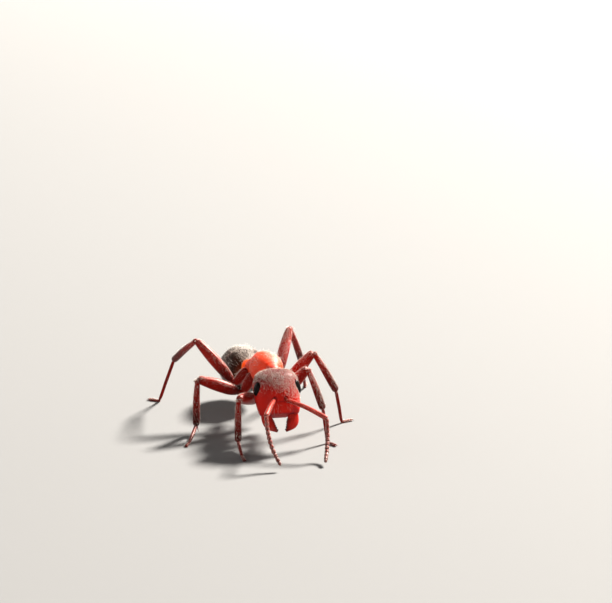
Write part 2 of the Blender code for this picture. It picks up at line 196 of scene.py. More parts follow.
# Head capsule
# One hard hollow shell of red horn, moulded in one piece with the plate over the mouth, the two ridges
# beside the feeler sockets, a small shining triangle between them and three beads of eye on the crown.
HEAD_HALF_WIDTH = 0.98
HEAD_HALF_LENGTH = 1.08
HEAD_RED = (0.58, 0.012, 0.006, 1.0)
HEAD_DEEP = (0.20, 0.020, 0.030, 1.0)
SOCKET = (0.22, -0.52, 0.48)
OCELLI = ((0.0, 0.60), (0.15, 0.74), (-0.15, 0.74))
EYE_MIDDLE = (0.850, 0.10, 0.280)
EYE_HALF = (0.125, 0.290, 0.180)
EYE_TILT = math.radians(26.0)
EYE_SLANT = math.radians(32.0)
HEAD_ROWS = (
    (-1.00, 0.0, 0.0, 0.0, 0.0),
    (-0.92, 0.0, 0.80, 0.34, 0.34),
    (-0.72, 0.0, 0.91, 0.50, 0.48),
    (-0.35, 0.0, 0.97, 0.64, 0.58),
    (0.05, 0.0, 1.00, 0.70, 0.62),
    (0.45, 0.0, 0.99, 0.66, 0.60),
    (0.78, 0.0, 0.84, 0.48, 0.48),
    (0.94, 0.0, 0.58, 0.28, 0.30),
    (1.00, 0.0, 0.0, 0.0, 0.0),
)
HEAD_INSET = 0.98
CLOUD_SCALE = 2600.0
PIT_SCALE = 19000.0
PIT_BLACK = (0.012, 0.002, 0.004, 1.0)
NET_SCALE = 38000.0
GLOW_DEPTH = 0.0004
GLOW_SHARES = (1.0, 0.14, 0.06)


def through(stations, count):
    """Smooth curve through rows of values, at count even steps.

    Between two rows each value follows the cubic of Catmull and Rom, set by those rows and their two
    neighbours.
    """
    rows = np.array(stations, float)
    rows = np.vstack([2 * rows[0] - rows[1], rows, 2 * rows[-1] - rows[-2]])
    t = np.linspace(0, len(stations) - 1 - 1e-9, count)
    k = t.astype(int)
    f = (t - k)[:, None]
    a, b, c, d = rows[k], rows[k + 1], rows[k + 2], rows[k + 3]
    return b + 0.5 * f * (c - a + f * (2 * a - 5 * b + 4 * c - d + f * (3 * (b - c) + d - a)))


def step(value, low, high):
    """Smooth step: 0 below low, 1 above high, and 3f squared minus 2f cubed between."""
    f = np.clip((value - low) / (high - low), 0, 1)
    return f * f * (3 - 2 * f)


def mound(value, width):
    """Bell of height one: e to the power of minus the square of value over width."""
    return np.exp(-((value / width) ** 2))


def body_grid(rows, power, rings, around):
    """Local side, rear and up of each point of a body form, as a grid of rings by places round a ring.

    Rows give distance to the rear, lift, half width, height above and depth below. Squares of the radii are
    carried smoothly between rows, so that a zero row closes in a round end. Rings lie at equal steps along
    the outline. Round a ring, side and up follow cosine and sine to the power of two over power.
    """
    stations = np.array(rows, float)
    stations[:, 2:] = stations[:, 2:] ** 2
    curve = through(stations, 60 * len(rows))
    curve[:, 2:] = np.sqrt(np.maximum(curve[:, 2:], 0))
    run = np.concatenate([[0], np.cumsum(np.linalg.norm(np.diff(curve[:, [0, 2, 3]], axis=0), axis=1))])
    at = np.linspace(0, run[-1], rings + 2)[1:-1]
    curve = np.column_stack([np.interp(at, run, curve[:, k]) for k in range(5)])
    turn = np.linspace(0, 2 * math.pi, around, endpoint=False)
    c, s = np.cos(turn), np.sin(turn)
    across = np.sign(c) * np.abs(c) ** (2 / power)
    upward = np.sign(s) * np.abs(s) ** (2 / power)
    side = curve[:, 2:3] * across
    up = np.where(upward > 0, curve[:, 3:4] * upward, curve[:, 4:5] * upward) + curve[:, 1:2]
    return np.stack([side, np.broadcast_to(curve[:, 0:1], side.shape), up], axis=-1)


def outward(grid):
    """Unit normals of a grid: the cross of its two directions, turned away from each ring's middle."""
    along = np.gradient(grid, axis=0)
    around = np.roll(grid, -1, axis=1) - np.roll(grid, 1, axis=1)
    normal = np.cross(along, around)
    normal = normal / np.maximum(np.linalg.norm(normal, axis=-1, keepdims=True), 1e-12)
    away = grid - grid.mean(axis=1, keepdims=True)
    return normal * np.sign((normal * away).sum(axis=-1).mean())


def skin(rings, tone=0.0):
    """Closed skin over rings of points: its points, faces, and the tone of each point.

    Pairs of triangles join each ring to the next, and a fan closes each end on the mean of its ring.
    """
    count, around = rings.shape[:2]
    tone = np.broadcast_to(tone, (count, around))
    points = np.vstack([rings.reshape(-1, 3), rings[0].mean(axis=0), rings[-1].mean(axis=0)])
    tones = np.concatenate([tone.reshape(-1), [tone[0].mean(), tone[-1].mean()]])
    i, j = np.meshgrid(np.arange(count - 1), np.arange(around), indexing="ij")
    n = (j + 1) % around
    quads = np.stack([i * around + j, i * around + n, (i + 1) * around + n, (i + 1) * around + j], axis=-1)
    quads = quads.reshape(-1, 4)
    j = np.arange(around)
    n = (j + 1) % around
    first = np.stack([np.full(around, count * around), n, j], axis=-1)
    base = (count - 1) * around
    last = np.stack([np.full(around, count * around + 1), base + j, base + n], axis=-1)
    fans = np.vstack([first, last])
    a, b, c = (points[quads[:, k]] for k in (0, 1, 2))
    if np.einsum("ij,ij->", a - points.mean(axis=0), np.cross(b - a, c - a)) < 0:
        quads, fans = quads[:, ::-1], fans[:, ::-1]
    return points, np.vstack([quads[:, [0, 1, 2]], quads[:, [0, 2, 3]], fans]), tones


def stacked(points, faces):
    """Points of several skins in one list, and their faces with each skin's numbers moved on to match."""
    starts = np.cumsum([0] + [len(some) for some in points[:-1]])
    return np.vstack(points), np.vstack([some + start for some, start in zip(faces, starts)])


def mounted(mesh, look, node):
    """The object of a mesh, with its material, on the still body and in place of its node."""
    mesh.shade_smooth()
    mesh.materials.append(look)
    made = bpy.data.objects.new(mesh.name, mesh)
    bpy.context.scene.collection.objects.link(made)
    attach(made, "root")
    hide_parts(node)


def piece(name, skins, look, node):
    """One object from a list of skins, in metres, with each point's tone kept as the attribute tone."""
    points, faces, tones = zip(*skins)
    points, faces = stacked(points, faces)
    mesh = bpy.data.meshes.new(name)
    mesh.from_pydata(metres(points).tolist(), [], faces.tolist())
    mesh.attributes.new("tone", "FLOAT", "POINT").data.foreach_set("value", np.concatenate(tones))
    mounted(mesh, look, node)


def horn(name, colour, deep, mottle=0.25, roughness=0.34, glow=0.25, coat=0.2, relief=3.0e-6, gloss=0.34,
         tint=(1.0, 0.55, 0.45, 1.0), pits=0.9):
    """Polished insect shell.

    Its colour goes to the deep one where the tone attribute is high and in slow cloudy patches, and there it
    is pitted with small dark points, as strongly as pits says. A fine net of bumps breaks the gloss, and
    light spreads a little inside.
    """
    look = bpy.data.materials.new(name)
    look.use_nodes = True
    place_of = wired(look, "ShaderNodeTexCoord", {}).outputs["Object"]
    tone = wired(look, "ShaderNodeAttribute", {}, attribute_name="tone").outputs["Fac"]
    cloud = wired(look, "ShaderNodeTexNoise", {"Vector": place_of, "Scale": CLOUD_SCALE, "Detail": 4.0})
    patch = wired(look, "ShaderNodeMapRange",
                  {"Value": cloud.outputs["Fac"], "From Min": 0.45, "From Max": 0.75, "To Max": mottle})
    dark = wired(look, "ShaderNodeMath", {0: patch.outputs["Result"], 1: tone}, operation="ADD",
                 use_clamp=True)
    mix = wired(look, "ShaderNodeMix", {"Factor": dark.outputs["Value"], "A": colour, "B": deep},
                data_type="RGBA")
    points = wired(look, "ShaderNodeTexVoronoi", {"Vector": place_of, "Scale": PIT_SCALE})
    pit = wired(look, "ShaderNodeMapRange",
                {"Value": points.outputs["Distance"], "From Min": 0.50, "From Max": 0.20, "To Max": pits})
    spot = wired(look, "ShaderNodeMath", {0: pit.outputs["Result"], 1: tone}, operation="MULTIPLY")
    pitted = wired(look, "ShaderNodeMix",
                   {"Factor": spot.outputs["Value"], "A": mix.outputs["Result"], "B": PIT_BLACK},
                   data_type="RGBA")
    net = wired(look, "ShaderNodeTexVoronoi", {"Vector": place_of, "Scale": NET_SCALE},
                feature="DISTANCE_TO_EDGE")
    bump = wired(look, "ShaderNodeBump",
                 {"Strength": 0.5, "Distance": relief, "Height": net.outputs["Distance"]})
    wired(look, "Principled BSDF", {
        "Base Color": pitted.outputs["Result"], "Normal": bump.outputs["Normal"], "Roughness": roughness,
        "IOR": 1.36, "Specular IOR Level": gloss, "Specular Tint": tint, "Subsurface Weight": glow,
        "Subsurface Scale": GLOW_DEPTH, "Subsurface Radius": GLOW_SHARES, "Coat Weight": coat,
        "Coat Roughness": 0.12})
    return look


def eye_ring(x, y, z):
    """Distance of a place on the head from the middle of the nearer eye, as a share of the eye's outline.

    The place is turned by the eye's slant and divided by its half sizes. Two is added on the face and throat.
    """
    rise, run = (z - EYE_MIDDLE[2]) / math.cos(EYE_TILT), y - EYE_MIDDLE[1]
    along = math.cos(EYE_SLANT) * run + math.sin(EYE_SLANT) * rise
    wide = math.cos(EYE_SLANT) * rise - math.sin(EYE_SLANT) * run
    return np.hypot(along / EYE_HALF[1], wide / EYE_HALF[2]) + 2 * (np.abs(x) < 0.55)


def head_relief(x, y, z):
    """Height added to the head's face and its tone, from local side, rear and up.

    The mouth plate is a step across a curve of x squared, with a keel. The ridges are bells about lines that
    part towards the crown. The sockets are round pits with a rim, and the crown eyes are small beads.
    """
    face = step(z, 0.05, 0.30)
    ahead = -y
    lean = np.abs(x)
    border = ahead - 0.64 - 0.55 * x**2
    plate = step(border, -0.02, 0.03) * (1 - step(lean, 0.40, 0.56))
    height = 0.030 * plate * face
    height += 0.030 * mound(x, 0.05) * plate * step(border, 0.05, 0.25) * face
    seam = mound(border, 0.020) * (1 - step(lean, 0.50, 0.62)) * face
    height -= 0.020 * seam
    ridge_line = 0.115 + 0.20 * np.clip(0.60 - ahead, 0, 1)
    ridge = mound(lean - ridge_line, 0.026) * step(ahead, 0.06, 0.26) * (1 - step(ahead, 0.55, 0.66)) * face
    height += 0.045 * ridge
    triangle = step(0.10 - lean + 0.45 * (ahead - 0.60), 0.0, 0.02) * step(ahead, 0.38, 0.42)
    triangle = triangle * (1 - step(ahead, 0.60, 0.64)) * face
    height -= 0.012 * triangle
    pit = np.hypot((lean - 0.235) / 0.080, (ahead - 0.53) / 0.100)
    height += (-0.085 * np.exp(-(pit**4)) + 0.014 * mound(pit - 1.25, 0.22)) * face
    middle_line = mound(x, 0.012) * step(ahead, -0.50, -0.40) * (1 - step(ahead, 0.32, 0.40)) * face
    height -= 0.007 * middle_line
    # The dark tone in the feeler-socket pits is painted shade; the seams, ridges, middle line and crown eyes
    # are the head's own darker marks.
    tone = 0.45 * seam + 0.65 * np.exp(-(pit**4)) * face + 0.20 * middle_line + 0.15 * ridge
    for ox, oy in OCELLI:
        bead = np.hypot(x - ox, y - oy) / 0.045
        height += 0.020 * np.exp(-(bead**4)) * step(z, 0.0, 0.1)
        tone = tone + 0.9 * np.exp(-(bead**4)) * step(z, 0.0, 0.1)
    rim = mound(eye_ring(x, y, z) - 1.05, 0.11)
    height -= 0.018 * rim
    tone = tone + 0.30 * rim
    tone = tone + 0.25 * step(ahead, 0.72, 0.95) * step(lean, 0.35, 0.55) + 0.5 * step(ahead, 0.98, 1.03)
    tone = tone + 0.80 * step(y, -0.30, 0.60) * step(z, -0.1, 0.3)
    return height, np.clip(tone, 0, 1)


head_rows = [(HEAD_HALF_LENGTH * d, lift, HEAD_HALF_WIDTH * w, above_, below)
             for d, lift, w, above_, below in HEAD_ROWS]
head_local = HEAD_INSET * body_grid(head_rows, 2.3, 220, 300)
relief, head_tone_and_shade = head_relief(head_local[..., 0], head_local[..., 1], head_local[..., 2])
head_local = head_local + outward(head_local) * relief[..., None]
head_rings = place(HEAD, head_local)
red_horn = horn("red_head_shell", HEAD_RED, HEAD_DEEP, glow=0.22, roughness=0.42, coat=0.0, gloss=0.26,
                tint=(1.0, 0.66, 0.56, 1.0))
piece("head_skin", [skin(head_rings, head_tone_and_shade)], red_horn, "head")

# Compound eyes
# Each eye is a low oval dome of several hundred six-sided lenses, black and glassy, set in a rim
# of the head shell.
LENS_PITCH = 0.034
LENS_RISE = 0.0045
GLASS_BLACK = (0.002, 0.002, 0.002, 1.0)
GLASS_BROWN = (0.009, 0.005, 0.004, 1.0)
GLASS_SCALE = 9000.0


def egg_grid(half, rings, around):
    """Local points of an egg.

    Rear follows minus the cosine from pole to pole, and side and up follow its sine round a circle.
    """
    polar = np.linspace(0, math.pi, rings + 2)[1:-1, None]
    turn = np.linspace(0, 2 * math.pi, around, endpoint=False)[None, :]
    side = half[0] * np.sin(polar) * np.cos(turn)
    up = half[2] * np.sin(polar) * np.sin(turn)
    return np.stack([side, -half[1] * np.cos(polar) + 0 * turn, up], axis=-1)


def lens_height(u, v, pitch):
    """Height of a field of round-topped lenses on a six-sided lattice.

    The nearest lattice point is the nearer of two offset rectangular lattices, and a lens falls off with
    the square of the distance to it.
    """
    rise = pitch * math.sqrt(3)
    nearest = np.full(u.shape, 1e9)
    for shift in (0.0, 0.5):
        du = (u / pitch - shift + 0.5) % 1 - 0.5
        dv = (v / rise - shift + 0.5) % 1 - 0.5
        nearest = np.minimum(nearest, (du * pitch) ** 2 + (dv * rise) ** 2)
    return 1 - nearest / (0.33 * pitch**2)


glass_black = bpy.data.materials.new("eye_glass")
glass_black.use_nodes = True
glass_place = wired(glass_black, "ShaderNodeTexCoord", {}).outputs["Object"]
glass_cloud = wired(glass_black, "ShaderNodeTexNoise",
                    {"Vector": glass_place, "Scale": GLASS_SCALE}).outputs["Fac"]
glass_mix = wired(glass_black, "ShaderNodeMix", {"Factor": glass_cloud, "A": GLASS_BLACK, "B": GLASS_BROWN},
                  data_type="RGBA").outputs["Result"]
wired(glass_black, "Principled BSDF",
      {"Base Color": glass_mix, "Roughness": 0.18, "IOR": 1.28, "Specular IOR Level": 0.2})

eye_out = np.array([math.cos(EYE_TILT), 0, math.sin(EYE_TILT)])
eye_up = np.array([-math.sin(EYE_TILT), 0, math.cos(EYE_TILT)])
eye_long = math.sin(EYE_SLANT) * eye_up + np.array([0, math.cos(EYE_SLANT), 0])
eye_wide = math.cos(EYE_SLANT) * eye_up - np.array([0, math.sin(EYE_SLANT), 0])
for side, s in SIDES.items():
    egg = egg_grid(EYE_HALF, 120, 170)
    lenses = lens_height(egg[..., 1], np.arctan2(egg[..., 2], np.abs(egg[..., 0])) * 0.17, LENS_PITCH)
    outer = step(egg[..., 0], 0.0, 0.04)
    egg = egg + outward(egg) * (LENS_RISE * lenses * outer)[..., None]
    egg = place((np.array(EYE_MIDDLE), eye_out, eye_long, eye_wide), egg) * np.array([s, 1, 1])
    piece("eye_dome_" + side, [skin(place(HEAD, egg))], glass_black, "eye_" + side)

# Mandibles and palps
# Two curved triangular blades of dark horn are hinged at the cheeks, their inner edges cut into eight
# teeth. Thin jointed feelers of the mouth hang behind them and bend back under the head.
MANDIBLE_PATH = ((0.50, -0.62), (0.56, -1.07), (0.45, -1.41), (0.18, -1.72))
MANDIBLE_WIDTHS = (0.19, 0.225, 0.235, 0.05)
MANDIBLE_THICK = 0.13
MANDIBLE_DROP = 0.05
MANDIBLE_RED = (0.55, 0.022, 0.014, 1.0)
MANDIBLE_DEEP = (0.018, 0.005, 0.004, 1.0)
TOOTH_COUNT = 7

jaw_horn = horn("jaw_shell", MANDIBLE_RED, MANDIBLE_DEEP, glow=0.12, roughness=0.28)
jaw_curve = through([(x, y, w) for (x, y), w in zip(MANDIBLE_PATH, MANDIBLE_WIDTHS)], 130)
jaw_share = np.linspace(0, 1, 130)[:, None]
jaw_turn = np.linspace(0, 2 * math.pi, 48, endpoint=False)[None, :]
for side, s in SIDES.items():
    ahead = np.gradient(jaw_curve[:, :2], axis=0)
    ahead = ahead / np.linalg.norm(ahead, axis=1, keepdims=True)
    inner = np.maximum(np.cos(jaw_turn), 0) ** 2 * step(jaw_share, 0.42, 0.50)
    saw = (jaw_share - 0.45) / 0.55 * TOOTH_COUNT % 1
    tooth = np.where(saw < 0.65, saw / 0.65, (1 - saw) / 0.35)
    reach = jaw_curve[:, 2:3] * np.cos(jaw_turn) + (0.015 + 0.050 * jaw_share) * inner * (tooth - 0.5)
    rise = MANDIBLE_THICK * np.sin(jaw_turn) * (1 - 0.6 * jaw_share**2) * (1 - 0.45 * inner)
    groove = 0.008 * np.cos(jaw_turn * 14) * np.abs(np.sin(jaw_turn)) * step(jaw_share, 0.05, 0.2)
    x = jaw_curve[:, 0:1] + ahead[:, 1:2] * reach
    y = jaw_curve[:, 1:2] - ahead[:, 0:1] * reach
    blade = np.stack([s * x, y, rise + groove - MANDIBLE_DROP], axis=-1)
    dark = np.clip(0.05 + inner * 0.8 + step(jaw_share, 0.75, 1.0) * 0.6, 0, 1)
    piece("mandible_blade_" + side, [skin(place(HEAD, blade), dark)], jaw_horn, "mandible_" + side)


def unit(vector):
    """The vector over its own length."""
    return np.asarray(vector, float) / np.linalg.norm(vector)


def limb(path, rows, rings, around, sideways, flat=1.0):
    """Rings of points round a path.

    The path is taken at even steps of its length. Rows give share of that length and radius, and squares
    of the radii are carried smoothly between them. Each ring lies across the path, on the sideways direction
    made square to it and on their cross product, which is shortened by flat.
    """
    path = np.asarray(path, float)
    run = np.concatenate([[0], np.cumsum(np.linalg.norm(np.diff(path, axis=0), axis=1))])
    stations = np.array(rows, float)
    stations[:, 1] = stations[:, 1] ** 2
    curve = through(stations, 40 * len(rows))
    curve[:, 0] *= run[-1]
    curve[:, 1] = np.sqrt(np.maximum(curve[:, 1], 0))
    outline = np.concatenate([[0], np.cumsum(np.hypot(np.diff(curve[:, 0]), 1.5 * np.diff(curve[:, 1])))])
    at = np.linspace(0, outline[-1], rings + 2)[1:-1]
    distance = np.interp(at, outline, curve[:, 0])
    radius = np.interp(at, outline, curve[:, 1])[:, None, None]
    centre = np.column_stack([np.interp(distance, run, path[:, k]) for k in range(3)])
    nose = np.clip(distance + 0.02, 0.02, run[-1])
    tail = np.clip(distance - 0.02, 0, run[-1] - 0.02)
    ahead = np.column_stack([np.interp(nose, run, path[:, k]) for k in range(3)])
    behind = np.column_stack([np.interp(tail, run, path[:, k]) for k in range(3)])
    tangent = (ahead - behind) / np.linalg.norm(ahead - behind, axis=1, keepdims=True)
    across = np.asarray(sideways, float) - tangent * (tangent @ np.asarray(sideways, float))[:, None]
    across = across / np.linalg.norm(across, axis=1, keepdims=True)
    lifted = np.cross(tangent, across) * flat
    turn = np.linspace(0, 2 * math.pi, around, endpoint=False)[None, :, None]
    circle = np.cos(turn) * across[:, None, :] + np.sin(turn) * lifted[:, None, :]
    return centre[:, None, :] + radius * circle


def curved(points, count=60):
    """Smooth path through a few points, at count even steps."""
    return through(points, count)


palp_skins = []
for s in SIDES.values():
    for inset, length in ((0.24, 1.0), (0.10, 0.6)):
        points = [(s * inset, -0.74, -0.32), (s * (inset + 0.07), -0.86, -0.54),
                  (s * (inset + 0.10), -0.84 + 0.16 * length, -0.54 - 0.22 * length),
                  (s * (inset + 0.04), -0.84 + 0.52 * length, -0.54 - 0.26 * length)]
        path = curved(place(HEAD, points))
        beads = [(k / 10, (0.044 if k % 2 else 0.032) * (1 - 0.05 * k)) for k in range(1, 10)]
        palp_skins.append(skin(limb(path, [(0, 0)] + beads + [(1, 0)], 60, 14, HEAD[1]), 0.1))
palp_horn = horn("palp_shell", (0.34, 0.040, 0.012, 1.0), MANDIBLE_DEEP, glow=0.3)
piece("mouth_palps", palp_skins, palp_horn, "head")

# Antennae
# Each feeler is a long straight first joint turned in a ball socket, a sharp elbow and a whip of eleven
# short beads, all in dark red horn under a close velvet.
SCAPE_RADIUS = 0.105
WHIP_RADIUS = 0.090
ELBOWS = {"left": (1.38, -4.28, 1.58), "right": (-1.31, -4.45, 2.02)}
WHIPS = {
    "left": ((1.30, -4.55, 1.00), (1.10, -5.05, 0.50), (0.82, -5.68, 0.20)),
    "right": ((-1.35, -4.80, 1.45), (-1.28, -5.15, 0.85), (-1.08, -5.62, 0.24)),
}
WHIP_JOINTS = 11
ANTENNA_RED = (0.33, 0.020, 0.010, 1.0)
ANTENNA_DEEP = (0.075, 0.008, 0.006, 1.0)

antenna_horn = horn("antenna_shell", ANTENNA_RED, ANTENNA_DEEP, glow=0.3, roughness=0.36)
SCAPE_ROWS = ((0, 0), (0.01, 0.075), (0.035, 0.085), (0.06, 0.060), (0.10, 0.075), (0.30, 0.088),
              (0.70, 0.100), (0.93, SCAPE_RADIUS), (0.985, 0.085), (1, 0))
antenna_grids = {}
for side, s in SIDES.items():
    root = place(HEAD, np.array(SOCKET) * np.array([s, 1, 1]))
    elbow = np.array(ELBOWS[side])
    bow = np.array([0, 0, 0.06])
    scape = limb(curved([root, (root + elbow) / 2 + bow, elbow]), SCAPE_ROWS, 120, 28, unit((s, 0.6, 0.2)))
    whip_path = curved([elbow + 0.02 * unit(root - elbow)] + [np.array(p) for p in WHIPS[side]], 90)
    rows = [(0, 0)]
    for k in range(WHIP_JOINTS):
        start, end = k / WHIP_JOINTS, (k + 1) / WHIP_JOINTS
        swell = WHIP_RADIUS * (0.80 + 0.20 * math.sin(math.pi * (k + 1.5) / (WHIP_JOINTS + 1)))
        pinch = 0.74 * swell
        rows += [(start + 0.12 / WHIP_JOINTS, pinch), (start + 0.45 / WHIP_JOINTS, 0.95 * swell),
                 (start + 0.88 / WHIP_JOINTS, swell)]
    rows = rows[:-1] + [(0.975, 0.055), (1, 0)]
    whip = limb(whip_path, rows, 330, 24, unit((s, 0.3, 0.1)))
    share = np.linspace(0, 1, 330)[:, None]
    whip_tone = 0.30 + 0.45 * share + 0.25 * mound((share * WHIP_JOINTS + 0.5) % 1 - 0.5, 0.12)
    scape_share = np.linspace(0, 1, 120)[:, None]
    scape_tone = 0.25 * step(scape_share, 0.88, 1.0)
    antenna_grids[side] = (scape, whip)
    piece("antenna_joints_" + side, [skin(scape, scape_tone), skin(whip, whip_tone)], antenna_horn,
          "antenna_" + side)

# Trunk
# The trunk is three rings of the body welded into one red box: a round collar and shield in front, a
# groove, and a lower rear box with a breathing hole on each side. Its seams show as fine sunk lines.
TRUNK_CENTRE = (0.0, 0.0, 2.66)
TRUNK_PITCH = 13.0
TRUNK_RED = (0.86, 0.055, 0.010, 1.0)
TRUNK_DEEP = (0.22, 0.010, 0.006, 1.0)
TRUNK_ROWS = (
    (-1.66, -0.06, 0.0, 0.0, 0.0),
    (-1.52, -0.06, 0.26, 0.22, 0.26),
    (-1.26, -0.04, 0.36, 0.34, 0.32),
    (-0.98, 0.0, 0.58, 0.52, 0.46),
    (-0.55, 0.0, 0.68, 0.68, 0.64),
    (-0.08, 0.0, 0.62, 0.73, 0.74),
    (0.34, 0.0, 0.52, 0.60, 0.76),
    (0.60, 0.0, 0.45, 0.42, 0.75),
    (0.86, 0.0, 0.46, 0.45, 0.72),
    (1.18, 0.0, 0.44, 0.38, 0.60),
    (1.42, 0.0, 0.33, 0.16, 0.44),
    (1.52, -0.05, 0.0, 0.0, 0.0),
)


def trunk_relief(x, y, z):
    """Height added to the trunk and its tone, from local side, rear and up.

    Each seam is a sunk bell about a curve of rear against up. The breathing hole is a pit with a raised rim.
    """
    collar = y + 0.55 - 0.42 * (0.68 - z) ** 2
    upper = step(z, -0.45, -0.20)
    seams = mound(collar, 0.022) * upper * step(z, -0.30, -0.05)
    back = mound(y - 0.50 + 0.05 * z, 0.020) * step(z, -0.10, 0.10)
    back = np.maximum(back, mound(y - 0.70 + 0.05 * z, 0.018) * step(z, -0.10, 0.10))
    flank = mound(y - 0.56 + 0.18 * z, 0.020) * (1 - step(z, -0.05, 0.10)) * step(np.abs(x), 0.15, 0.30)
    mid = mound(z + 0.12 + 0.10 * y, 0.016) * step(y, -0.25, -0.15) * (1 - step(y, 0.45, 0.55))
    lower = mound(z + 0.34, 0.016) * step(y, 0.62, 0.72) * (1 - step(y, 1.15, 1.25))
    seams = np.clip(seams + back + flank + 0.8 * mid + 0.7 * lower, 0, 1)
    height = -0.024 * seams
    hole = np.hypot((y - 1.02) / 0.075, (z - 0.05) / 0.055)
    side = step(np.abs(x), 0.25, 0.35)
    height += side * (-0.030 * np.exp(-(hole**4)) + 0.018 * mound(hole - 1.2, 0.25))
    shield = step(y, 0.50, 0.54) * (1 - step(y, 0.68, 0.72)) * step(z, 0.10, 0.20)
    height -= 0.015 * shield
    collar_rim = mound(y + 1.22, 0.05)
    height += 0.020 * collar_rim
    # Tone: the seams are dark joints; the dark in the breathing holes and along the underside is painted
    # shade, and the tone also darkens towards the neck.
    tone = 0.55 * seams + 0.7 * side * np.exp(-(hole**4)) + 0.35 * (1 - step(z, -0.75, -0.45))
    tone = tone + 0.5 * (1 - step(y, -1.50, -1.20))
    return height, np.clip(tone, 0, 1)


TRUNK = directions(TRUNK_CENTRE, 0.0, TRUNK_PITCH)
trunk_local = 0.985 * body_grid(TRUNK_ROWS, 2.1, 260, 230)
relief, trunk_tone_and_shade = trunk_relief(trunk_local[..., 0], trunk_local[..., 1], trunk_local[..., 2])
trunk_local = trunk_local + outward(trunk_local) * relief[..., None]
trunk_rings = place(TRUNK, trunk_local)
trunk_horn = horn("red_trunk_shell", TRUNK_RED, TRUNK_DEEP, glow=0.35, roughness=0.50, coat=0.0, gloss=0.60,
                  tint=(1.0, 0.86, 0.74, 1.0))
piece("trunk_skin", [skin(trunk_rings, trunk_tone_and_shade)], trunk_horn, "thorax")

# Waist
# A short stalk carries one thin upright scale, lit a little from within; its upper half and side edges are
# painted orange as painted light shining through it. The stalk runs on into the trunk and the gaster, where
# soft skin joins them.
SCALE_CENTRE = (0.04, 1.80, 2.08)
SCALE_HALF = (0.485, 0.145, 0.46)
GASTER_CENTRE = (0.24, 3.64, 1.55)
GASTER_HALF = (0.98, 1.50, 0.95)
GASTER_TURN = 6.0
GASTER_PITCH = 4.0
WAIST_RED = (0.62, 0.050, 0.012, 1.0)
WAIST_PAINTED_GLOW = (0.92, 0.25, 0.022, 1.0)

WAIST = directions(SCALE_CENTRE, 0.5 * GASTER_TURN, 0.0)
GASTER = directions(GASTER_CENTRE, -GASTER_TURN, GASTER_PITCH)
scale_turn = np.linspace(0, 2 * math.pi, 120, endpoint=False)[None, :]
scale_rise = np.linspace(-1, 1, 112)[1:-1, None]
scale_width = SCALE_HALF[0] * (1 - np.abs(scale_rise) ** 2.4) ** (1 / 2.4) * (0.90 + 0.12 * scale_rise)
scale_thick = SCALE_HALF[1] * (1 - np.abs(scale_rise) ** 2.2) ** 0.5 * (0.95 - 0.62 * scale_rise)
scale_side = scale_width * np.cos(scale_turn)
scale_notch = 0.030 * mound(scale_side, 0.14) * step(scale_rise, 0.5, 1.0)
scale_local = np.stack([scale_side, scale_thick * np.sin(scale_turn) + 0.03 * scale_rise,
                        SCALE_HALF[2] * scale_rise - scale_notch + 0 * scale_turn], axis=-1)
# Painted light: the scale's upper half and side edges go to the orange glow colour, for sunlight shining
# through the thin scale.
flank = step(np.abs(np.cos(scale_turn)), 0.6, 0.95) * step(scale_rise, -0.6, 0.1)
painted_glow_edge = 0.95 * np.maximum(step(scale_rise, 0.0, 0.8) + 0 * scale_turn, flank)
stalk_start = place(TRUNK, (0, 1.30, -0.15))
stalk_end = place(GASTER, (0, -1.30, 0.10))
stalk_path = curved([stalk_start, np.array(SCALE_CENTRE) - np.array([0, 0, 0.18]), stalk_end])
stalk = limb(stalk_path, [(0, 0), (0.02, 0.17), (0.45, 0.19), (0.80, 0.15), (0.98, 0.17), (1, 0)], 50, 40,
             (1, 0, 0))
waist_horn = horn("waist_shell", WAIST_RED, WAIST_PAINTED_GLOW, mottle=0.15, glow=0.6, roughness=0.30, pits=0.0)
scale_rings = place(WAIST, scale_local)
piece("waist_scale", [skin(scale_rings, painted_glow_edge), skin(stalk, 0.0)], waist_horn, "petiole")

# Gaster
# The rear body is a row of hard hoops, each sliding over the next with soft skin between. The upper
# and lower halves of a hoop meet in a sunk line along the flank, and the tip ends in a small round spout.
HOOP_EDGES = (-1.0, -0.22, 0.26, 0.60, 0.86, 1.0)
HOOP_STEP = 0.043
GASTER_BLACK = (0.012, 0.004, 0.002, 1.0)
GASTER_BROWN = (0.20, 0.034, 0.012, 1.0)
gaster_share = np.sin(np.linspace(-0.4945 * math.pi, 0.4965 * math.pi, 330))[:, None]
gaster_turn = np.linspace(0, 2 * math.pi, 210, endpoint=False)[None, :]
shrink = np.sqrt(1 - np.abs(gaster_share) ** 2.2) * (1.0 - 0.06 * gaster_share)
flare = np.zeros_like(gaster_share)
hoop_edge = np.zeros_like(gaster_share)
for number, (start, end) in enumerate(zip(HOOP_EDGES, HOOP_EDGES[1:])):
    inside = (gaster_share >= start) & (gaster_share < end)
    f = (gaster_share - start) / (end - start)
    flare = np.where(inside, HOOP_STEP * np.clip(f, 0, 1) ** 1.3 * (1 - step(f, 0.985, 1.0)), flare)
    hoop_edge = np.where(inside, step(f, 0.88, 0.97), hoop_edge)
flare = flare * (1 - step(gaster_share, 0.86, 0.95))
point = 1 - 0.30 * step(gaster_share, 0.80, 0.99)
width = GASTER_HALF[0] * shrink * point + flare
depth = GASTER_HALF[2] * shrink * point + flare
gaster_side = width * np.cos(gaster_turn)
gaster_up = depth * np.sin(gaster_turn)
flank_line = mound(np.sin(gaster_turn) + 0.42, 0.022) * step(shrink, 0.2, 0.5)
bend = 1 - 0.024 * flank_line
gaster_local = np.stack([gaster_side * bend, GASTER_HALF[1] * gaster_share + 0 * gaster_turn,
                         gaster_up * bend], axis=-1)
gaster_rings = place(GASTER, gaster_local)
front_face = 1 - step(gaster_share, -0.98, -0.72)
